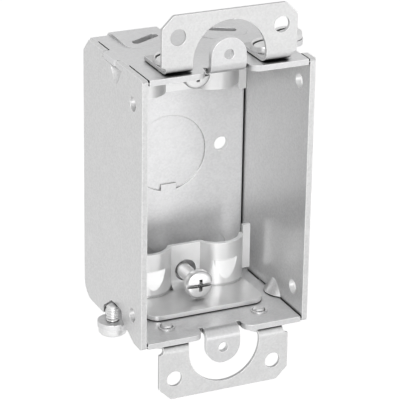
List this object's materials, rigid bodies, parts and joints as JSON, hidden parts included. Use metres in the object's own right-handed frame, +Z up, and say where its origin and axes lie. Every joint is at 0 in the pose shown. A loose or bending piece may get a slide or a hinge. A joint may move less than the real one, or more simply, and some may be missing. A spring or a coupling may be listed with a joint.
{
  "type": "gangable steel switch box",
  "caption": "Shallow one-gang steel switch box with slotted plaster ears, removable side plates, pry-outs and inside cable clamps.",
  "frame": {"origin": "midway between the two tapped holes that hold the switch, on the front faces of their tabs", "axes": "+X across the box, +Y from the open front into the wall, +Z up"},
  "size_m": [0.0588, 0.0445, 0.108],
  "materials": {
    "box_sheet": "galvanised sheet, soft satin",
    "ears": "zinc-plated sheet, satin",
    "clamps": "zinc-plated sheet, bright",
    "screws": "zinc-plated, bright"
  },
  "bodies": {
    "box": {"box_body": "box_sheet", "left_side_plate": "box_sheet", "right_side_plate": "box_sheet"},
    "top_ear": {"top_ear": "ears"},
    "bottom_ear": {"bottom_ear": "ears"},
    "top_clamp": {"top_clamp": "clamps"},
    "bottom_clamp": {"bottom_clamp": "clamps"},
    "left_plate_screw": {"left_plate_screw": "screws"},
    "right_plate_screw": {"right_plate_screw": "screws"},
    "top_ear_screw_left": {"top_ear_screw_left": "screws"},
    "top_ear_screw_right": {"top_ear_screw_right": "screws"},
    "bottom_ear_screw_left": {"bottom_ear_screw_left": "screws"},
    "bottom_ear_screw_right": {"bottom_ear_screw_right": "screws"},
    "top_clamp_screw": {"top_clamp_screw": "screws"},
    "bottom_clamp_screw": {"bottom_clamp_screw": "screws"}
  },
  "joints": [
    {"name": "top_ear_slide", "type": "slide", "parent": "box", "child": "top_ear", "axis": [0, 1, 0], "range_m": [-0.004, 0.0008]},
    {"name": "bottom_ear_slide", "type": "slide", "parent": "box", "child": "bottom_ear", "axis": [0, 1, 0], "range_m": [-0.004, 0.0008]},
    {"name": "top_clamp_slide", "type": "slide", "parent": "box", "child": "top_clamp", "axis": [0, 1, 0], "range_m": [-0.0049, 0.0048]},
    {"name": "bottom_clamp_slide", "type": "slide", "parent": "box", "child": "bottom_clamp", "axis": [0, 1, 0], "range_m": [-0.0012, 0.0085]},
    {"name": "left_plate_screw_turn", "type": "hinge", "parent": "box", "child": "left_plate_screw", "pos_m": [-0.0253, 0.017, -0.0378], "axis": [0, 0, -1], "continuous": true},
    {"name": "right_plate_screw_turn", "type": "hinge", "parent": "box", "child": "right_plate_screw", "pos_m": [0.0253, 0.017, 0.0378], "axis": [0, 0, 1], "continuous": true},
    {"name": "top_ear_screw_left_turn", "type": "hinge", "parent": "box", "child": "top_ear_screw_left", "pos_m": [-0.0138, 0.0069, 0.0391], "axis": [0, 0, 1], "continuous": true},
    {"name": "top_ear_screw_right_turn", "type": "hinge", "parent": "box", "child": "top_ear_screw_right", "pos_m": [0.0138, 0.0069, 0.0391], "axis": [0, 0, 1], "continuous": true},
    {"name": "bottom_ear_screw_left_turn", "type": "hinge", "parent": "box", "child": "bottom_ear_screw_left", "pos_m": [-0.0138, 0.0069, -0.0391], "axis": [0, 0, -1], "continuous": true},
    {"name": "bottom_ear_screw_right_turn", "type": "hinge", "parent": "box", "child": "bottom_ear_screw_right", "pos_m": [0.0138, 0.0069, -0.0391], "axis": [0, 0, -1], "continuous": true},
    {"name": "top_clamp_screw_turn", "type": "hinge", "parent": "box", "child": "top_clamp_screw", "pos_m": [0, 0.0213, 0.0298], "axis": [0, -1, 0], "continuous": true},
    {"name": "bottom_clamp_screw_turn", "type": "hinge", "parent": "box", "child": "bottom_clamp_screw", "pos_m": [0, 0.0176, -0.0298], "axis": [0, -1, 0], "continuous": true}
  ]
}
